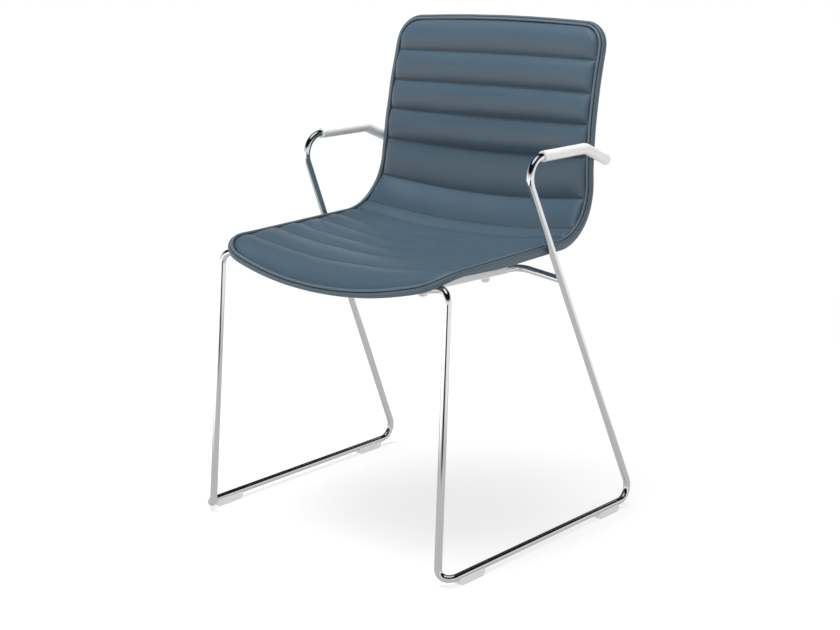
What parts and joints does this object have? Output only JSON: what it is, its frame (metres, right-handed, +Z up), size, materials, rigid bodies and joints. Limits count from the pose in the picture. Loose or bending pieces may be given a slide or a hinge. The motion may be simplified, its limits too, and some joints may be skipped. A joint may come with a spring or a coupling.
{
  "type": "sled base visitor chair",
  "caption": "Stackable visitor chair: one-piece shell padded in channel-sewn leather, on a chromed rod sled frame with open arms and plastic arm pads.",
  "frame": {"origin": "middle of the footprint on the floor, the bottom centre of the bounding box", "axes": "+Z up, the sitter faces -Y, +X to the sitter's left"},
  "size_m": [0.5582, 0.4979, 0.8262],
  "materials": {
    "chrome": "polished",
    "slate_leather": "satin",
    "grey_plastic": "satin",
    "shell_polymer": "matte",
    "zinc_steel": "brushed"
  },
  "bodies": {
    "root": {"side_frame_right": "chrome", "side_frame_left": "chrome", "cross_rod_front": "chrome", "cross_rod_rear": "chrome", "cushion": "slate_leather", "rim_band": "slate_leather", "rear_cover": "slate_leather", "glide_front_right": "grey_plastic", "glide_front_left": "grey_plastic", "glide_rear_right": "grey_plastic", "glide_rear_left": "grey_plastic", "arm_pad_right": "grey_plastic", "arm_pad_left": "grey_plastic", "seat_carrier_right": "grey_plastic", "seat_carrier_left": "grey_plastic", "stacking_bumper_front_right": "grey_plastic", "stacking_bumper_front_left": "grey_plastic", "stacking_bumper_rear_right": "grey_plastic", "stacking_bumper_rear_left": "grey_plastic", "shell_core": "shell_polymer", "carrier_screws": "zinc_steel", "shell_inserts": "zinc_steel"}
  },
  "joints": []
}
